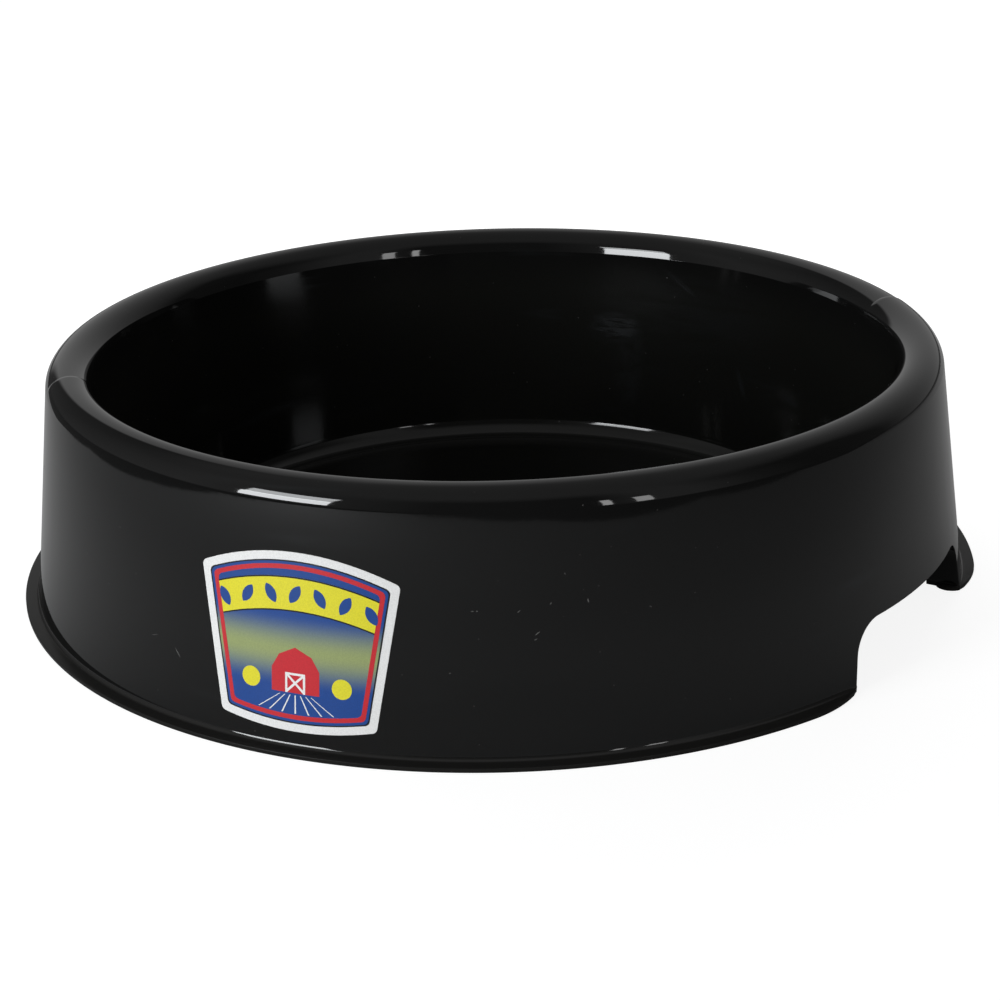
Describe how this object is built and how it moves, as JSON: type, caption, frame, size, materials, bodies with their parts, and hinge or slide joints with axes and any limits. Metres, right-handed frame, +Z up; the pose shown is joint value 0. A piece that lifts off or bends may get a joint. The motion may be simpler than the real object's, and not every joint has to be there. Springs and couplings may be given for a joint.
{
  "type": "feed pan",
  "caption": "Low round livestock feed pan in glossy black plastic, with a rolled rim, a sloping skirt with a foot lip, hand notches in the skirt and a printed label.",
  "frame": {"origin": "on the pan's axis, at the ground that its foot lip stands on", "axes": "+Z up out of the bowl, +X and -X through the hand notches, -Y towards the side that carries the label"},
  "size_m": [0.4502, 0.47, 0.116],
  "materials": {
    "pan_plastic": "glossy black polyethylene with faint flow marks, scuffs and dust",
    "adhesive": "pressure-sensitive adhesive, hidden under the film",
    "label_film": "white coated label film",
    "ink_blue": "blue label ink, fading to olive across its middle",
    "ink_yellow": "yellow label ink",
    "ink_red": "red label ink",
    "ink_black": "black label ink",
    "ink_white": "white label ink"
  },
  "bodies": {
    "root": {"pan": "pan_plastic", "label_adhesive": "adhesive", "label_film": "label_film", "label_ink_blue": "ink_blue", "label_ink_yellow": "ink_yellow", "label_ink_red": "ink_red", "label_ink_black": "ink_black", "label_ink_white": "ink_white"}
  },
  "joints": []
}
